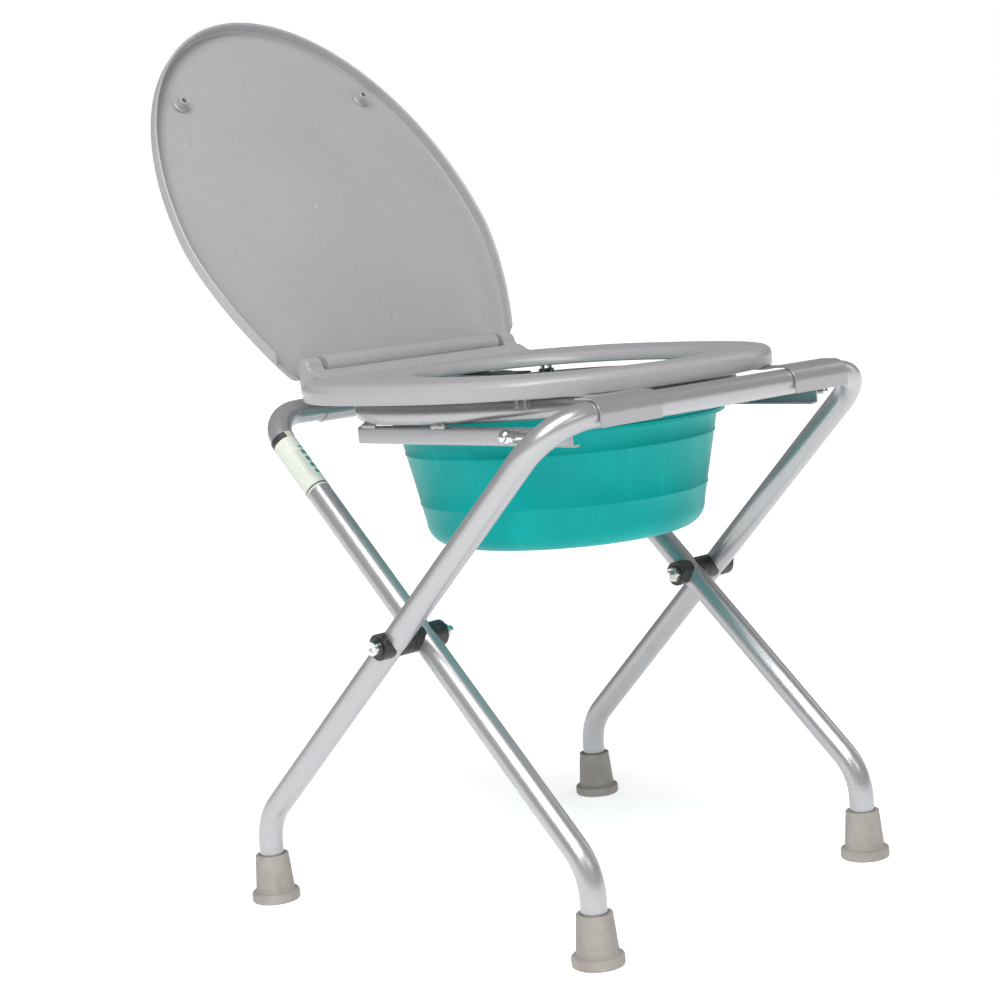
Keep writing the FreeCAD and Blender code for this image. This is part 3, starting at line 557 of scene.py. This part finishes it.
def lid_dish():
    """A flat panel in a low rim, which dies away beside the hinge."""
    outline = egg(LID_HALF, LID_WIDE, LID_TIP, LID_REAR, LID_TIP_EXP, LID_REAR_EXP, LID_EDGE, 400, 5.0)
    into = inward(outline)
    under, top = LID_LIFT, LID_LIFT + LID_PANEL
    least_depth, fade_length = 0.5, 6
    share = np.clip((outline[:, 1] - LID_RIM_START + fade_length / 2) / fade_length, 0, 1)
    depth = least_depth + (LID_RIM - least_depth) * share * share * (3 - 2 * share)
    middle = np.array([0, LID_WIDE])

    def at(inset, lift):
        return row(outline + into * inset, lift)

    def spread(scale, inset, lift):
        return row(middle + (outline + into * inset - middle) * scale, lift)

    fillet = LID_FILLET
    rows = [spread(scale, LID_WALL + fillet, under) for scale in (0.0, 0.3, 0.6, 0.85)]
    for inset, lift in arc(LID_WALL + fillet, fillet, fillet, 90, 180, 7):
        rows.append(at(inset, under - np.minimum(fillet - lift, depth - 0.3)))
    rows.append(at(LID_WALL, under - np.maximum(depth - 1.6, 0.3)))
    rows.append(at(LID_WALL - 0.25, under - np.maximum(depth - 0.9, 0.3)))
    for inset, drop in ((LID_WALL - 0.9, 0.25), (LID_WALL / 2, 0.0), (0.7, 0.25), (0.15, 0.9), (0.0, 1.7)):
        rows.append(at(inset, under - np.maximum(depth - drop, 0.1)))
    rows.append(at(0.0, under + 0.1))
    rows += [at(inset, top - LID_ROUND + lift) for inset, lift in arc(LID_ROUND, 0, LID_ROUND, 180, 90, 6)]
    rows += [spread(scale, LID_ROUND, top + 0.6 * (1 - scale ** 2)) for scale in (0.85, 0.6, 0.3, 0.0)]
    return grid(np.array(rows))


def lid_barrel():
    """The long hinge barrel and the neck that joins it to the panel."""
    neck = [(7.4, 9.0), (8.4, 9.9), (9.8, LID_LIFT - 0.1), (11.5, LID_LIFT + 0.05), (11.5, LID_LIFT + 0.8)]
    rear = [(-4.0, LID_LIFT + 1.0)]
    round_under = arc(0, 0, BARREL_R, 112, 413, 44)
    profile = rear + round_under + neck
    return extrusion(profile, -BARREL_X, BARREL_X, bevel=0.8, segments=3)


def lid_stud(side):
    """A hollow post that steadies the lid over the seat."""
    h, r, bore = STUD_H, STUD_R, STUD_BORE_R
    profile = [(r + 2.0, -0.1), (r + 0.8, 0.25), (r + 0.2, 1.0), (r, 2.0), (r - 0.1, h - 0.6), (r - 0.6, h),
               (bore + 0.4, h), (bore, h - 0.4), (bore, 1.2), (0.0, 1.2)]
    hanging = [(radius, -height) for radius, height in profile]
    return lathe(hanging, (side * STUD_X, STUD_AT, LID_LIFT), columns=48)


def lid_marks():
    """The moulding gate's nub and three faint ejector marks."""
    nub = [(3.2, 0.05), (2.6, -0.5), (1.6, -1.0), (0.0, -1.15)]
    parts = [lathe(nub, (*GATE_AT, LID_LIFT), columns=32)]
    ring = [(4.6, 0.05), (4.4, -0.14), (3.9, -0.14), (3.7, 0.0), (0.0, 0.0)]
    for x, along in EJECTORS_AT:
        parts.append(lathe(ring, (x, along, LID_LIFT - 0.01), columns=40))
    return parts


def lid():
    parts = [lid_dish(), lid_barrel()]
    parts += [lid_stud(side) for side in SIDES.values()] + lid_marks()
    piece("moulded_lid", [opened(part) for part in parts], "lid",
          MATERIALS["seat_plastic"], ["lid"])


# ---- bucket ---------------------------------------------------------------------------------
def bucket():
    """The pail: rounded base, tapered wall with two moulded ridges, and a stepped rim."""
    def wall(z):
        return BUCKET_R + BUCKET_TAPER * (z - BUCKET_BODY_Z)

    def ridge(z):
        crest = wall(z) + RIDGE_OUT
        return [(wall(z - 1.6), z - 1.6), (crest, z - 0.7), (crest, z + 0.5), (wall(z + 1.2), z + 1.2)]

    corner_z = BUCKET_Z + BUCKET_CORNER
    corner_at = wall(corner_z) - BUCKET_CORNER
    profile = [(0.0, BUCKET_Z + 2.0), (70.0, BUCKET_Z + 1.6), (76.0, BUCKET_Z)]
    profile += arc(corner_at, corner_z, BUCKET_CORNER, 270, 360, 12)
    for drop in RIDGE_DROPS:
        profile += ridge(BUCKET_BODY_Z - drop)
    profile += [(wall(BUCKET_BODY_Z - 1), BUCKET_BODY_Z - 1),
                (wall(BUCKET_BODY_Z) + 1.0, BUCKET_BODY_Z + 1.6), (BUCKET_R + 2.2, RIM_Z0 + 0.2),
                (BUCKET_RIM_R - 2.4, RIM_Z0 + 0.2), (BUCKET_RIM_R - 1.5, RIM_Z0),
                (BUCKET_RIM_R - 0.5, RIM_Z0 + 0.5), (BUCKET_RIM_R - 0.2, RIM_Z0 + 1.4),
                (BUCKET_RIM_R - 0.1, RIM_Z0 + 4.0), (BUCKET_RIM_R - 0.9, RIM_Z0 + 4.6),
                (BUCKET_RIM_R - 0.9, RIM_Z1 - 1.0), (BUCKET_RIM_R - 1.3, RIM_Z1 - 0.2),
                (BUCKET_RIM_R - 2.2, RIM_Z1), (BUCKET_RIM_R - 3.0, RIM_Z1 - 0.3),
                (BUCKET_RIM_R - 3.2, RIM_Z1 - 1.2), (BUCKET_RIM_R - 3.4, RIM_Z0 + 3.2),
                (BUCKET_RIM_R - 4.2, RIM_Z0 + 2.3), (wall(RIM_Z0) - 1.2, RIM_Z0 + 2.2),
                (wall(RIM_Z0) - BUCKET_WALL - 0.4, RIM_Z0 + 0.8),
                (wall(RIM_Z0) - BUCKET_WALL - 0.6, RIM_Z0 - 2)]
    profile += arc(corner_at, corner_z, BUCKET_CORNER - BUCKET_WALL, 360, 270, 10)
    profile += [(0.0, BUCKET_Z + BUCKET_WALL + 1.8)]
    piece("pail", [lathe(profile, (0, BUCKET_Y, 0), columns=220)], "bucket",
          MATERIALS["bucket_plastic"], ["bucket"], sharp=50)


# ---- feet and rails -------------------------------------------------------------------------
def rubber_foot(name, body):
    """A ferrule: tread with softened edges, a thin step, a cone and a rolled lip round the tube."""
    low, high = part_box(name)
    x, y = (low.x + high.x) / 2 / MM, ((low.y + high.y) / 2 - PIVOT.y) / MM
    tread, top = (high.x - low.x) / 2 / MM, high.z / MM
    profile = [(0.0, 1.2), (tread - 7, 1.2), (tread - 6, 0.0), (tread - 1.8, 0.0)]
    profile += arc(tread - 1.8, 1.8, 1.8, 270, 360, 6) + arc(tread - 2.2, 7.0, 2.2, 0, 90, 6)
    profile += [(tread - 3.2, 9.4), (tread - 3.5, 9.9), (tread - 3.6, 10.8), (tread - 4.2, 11.4)]
    profile += [(15.4, top - 6.0), (14.9, top - 3.4), (15.0, top - 2.6)]
    profile += arc(13.8, top - 1.3, 1.3, 10, 90, 5)
    profile += [(12.0, top), (11.3, top - 0.5), (FOOT_BORE_R, top - 1.6)]
    profile += [(FOOT_BORE_R, FOOT_BORE_Z), (0.0, FOOT_BORE_Z)]
    piece(name + "_ferrule", [lathe(profile, (x, y, 0))], body,
          MATERIALS["foot_rubber"], [name])


def side_rail(name, side):
    """A channel bent from sheet, open towards the middle."""
    low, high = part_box(name)
    web = max(abs(low.x), abs(high.x)) / MM
    lip = min(abs(low.x), abs(high.x)) / MM
    y0, y1, z0, z1 = (low.y - PIVOT.y) / MM, (high.y - PIVOT.y) / MM, low.z / MM, high.z / MM
    bend_x, lower_z, upper_z, inner = web - RAIL_BEND, z0 + RAIL_BEND, z1 - RAIL_BEND, RAIL_BEND - RAIL_GAUGE
    outside = [(lip, z0)] + arc(bend_x, lower_z, RAIL_BEND, 270, 360, 7)
    outside += arc(bend_x, upper_z, RAIL_BEND, 0, 90, 7) + [(lip, z1)]
    inside = [(lip, z1 - RAIL_GAUGE)] + arc(bend_x, upper_z, inner, 90, 0, 5)
    inside += arc(bend_x, lower_z, inner, 0, -90, 5) + [(lip, z0 + RAIL_GAUGE)]
    along_x, faces = extrusion(outside + inside, y0, y1, bevel=0.35, segments=2)
    vertices = [(side * x, y, z) for y, x, z in along_x]
    piece(name + "_channel", [(vertices, faces)], "seat",
          MATERIALS["silver_paint"], [name])


def weld_lumps():
    """Uneven beads where the rails hang from the ring, each a row of rounded drops."""
    rng = np.random.default_rng(7)
    parts = []
    for side in SIDES.values():
        for y in WELD_YS:
            for k in range(WELD_DROPS):
                share = k / (WELD_DROPS - 1) - 0.5
                radius = WELD_R + rng.uniform(-0.4, 0.5)
                centre = (side * (WELD_X + rng.uniform(-0.5, 0.5)), y + WELD_LENGTH * share,
                          WELD_Z + rng.uniform(-0.4, 0.4))
                axis = (0.1 * rng.uniform(-1, 1), 1, 0.1 * rng.uniform(-1, 1))
                parts.append(lathe(arc(0, 0, radius, -89, 89, 9), centre, axis, 18))
    piece("weld_lumps", parts, "seat", MATERIALS["silver_paint"], ["weld_beads"])


# ---- CAD nodes that stay --------------------------------------------------------------------
def keep_cad_nodes():
    """Better materials and softened edges for the nodes whose shape is right."""
    slots = {row_part["node"]: row_part["material_slot"] for row_part in frame["record"]["subparts"]}
    edge_width = {"silver_paint": 0.35, "black_nylon": 0.55, "zinc_steel": 0.2, "seat_plastic": 0.4}
    for name, obj in NODES.items():
        obj.data.materials.clear()
        obj.data.materials.append(MATERIALS[slots[name]])
        width = edge_width.get(slots[name])
        if width and "tube" not in name:
            bevel = obj.modifiers.new("soft_edges", "BEVEL")
            bevel.width = width * MM
            bevel.segments = 2
            bevel.limit_method = "ANGLE"
            bevel.angle_limit = math.radians(40)


# ---- stage, light and camera ----------------------------------------------------------------
def area_light(name, at, towards, size, energy):
    data = bpy.data.lights.new(name, "AREA")
    data.shape = "RECTANGLE"
    data.size, data.size_y = size
    data.energy = energy
    obj = bpy.data.objects.new(name, data)
    bpy.context.scene.collection.objects.link(obj)
    obj.location = at
    obj.rotation_euler = (Vector(towards) - Vector(at)).to_track_quat("-Z", "Y").to_euler()


def sun(at, energy, angle_deg):
    data = bpy.data.lights.new("sun", "SUN")
    data.energy = energy
    data.angle = math.radians(angle_deg)
    obj = bpy.data.objects.new("sun", data)
    bpy.context.scene.collection.objects.link(obj)
    obj.rotation_euler = (-Vector(at)).to_track_quat("-Z", "Y").to_euler()


def world():
    """White to the camera and softer to the surfaces."""
    sky = bpy.data.worlds.new("studio")
    sky.use_nodes = True
    bpy.context.scene.world = sky
    nodes, links = sky.node_tree.nodes, sky.node_tree.links
    seen = nodes.new("ShaderNodeLightPath").outputs["Is Camera Ray"]
    strength = nodes.new("ShaderNodeMapRange")
    strength.inputs["To Min"].default_value = WORLD_LIGHT
    strength.inputs["To Max"].default_value = 1.0
    links.new(seen, strength.inputs["Value"])
    background = nodes["Background"]
    background.inputs["Color"].default_value = (1, 1, 1, 1)
    links.new(strength.outputs["Result"], background.inputs["Strength"])


def floor():
    mesh = bpy.data.meshes.new("studio_floor")
    corners = [(FLOOR_REACH * x, FLOOR_REACH * y, 0) for x, y in ((-1, -1), (1, -1), (1, 1), (-1, 1))]
    mesh.from_pydata(corners, [], [(0, 1, 2, 3)])
    mesh.materials.append(floor_paint())
    obj = bpy.data.objects.new("studio_floor", mesh)
    bpy.context.scene.collection.objects.link(obj)


def camera():
    """A little above the seat, in front of the chair towards -X, slightly rolled."""
    azimuth, elevation = math.radians(CAMERA_AZIMUTH), math.radians(CAMERA_ELEVATION)
    roll = math.radians(CAMERA_ROLL)
    back = Vector((math.sin(azimuth) * math.cos(elevation), -math.cos(azimuth) * math.cos(elevation),
                   math.sin(elevation)))
    right = (-back).cross(Vector((0, 0, 1))).normalized()
    up = right.cross(-back)
    rolled_right = math.cos(roll) * right + math.sin(roll) * up
    rolled_up = -math.sin(roll) * right + math.cos(roll) * up
    place_at = Matrix((rolled_right, rolled_up, back)).transposed().to_4x4()
    place_at.translation = Vector((CAMERA_X, PIVOT.y + CAMERA_Y, CAMERA_Z))
    data = bpy.data.cameras.new("camera")
    data.lens = LENS_MM
    data.sensor_width = SENSOR_MM
    obj = bpy.data.objects.new("camera", data)
    bpy.context.scene.collection.objects.link(obj)
    obj.matrix_world = place_at
    bpy.context.scene.camera = obj


keep_cad_nodes()
seat()
lid()
bucket()
for foot_name in ("rear_foot_left", "rear_foot_right"):
    rubber_foot(foot_name, "front_frame")
for foot_name in ("front_foot_left", "front_foot_right"):
    rubber_foot(foot_name, "rear_frame")
for side_name, side_sign in SIDES.items():
    side_rail(f"side_rail_{side_name}", side_sign)
weld_lumps()
world()
floor()
area_light("key_softbox", at=(-1.7, -0.9, 1.9), towards=(0, -0.1, 0.4), size=(0.9, 1.3), energy=30)
area_light("front_strip", at=(-0.2, -2.4, 1.5), towards=(0, 0, 0.4), size=(1.2, 0.35), energy=4)
area_light("right_fill", at=(2.0, -0.6, 1.1), towards=(0, 0, 0.4), size=(0.5, 1.4), energy=3)
sun(at=(-0.35, -0.45, 1.0), energy=1.45, angle_deg=35)
camera()
bpy.context.scene.view_settings.view_transform = "Standard"
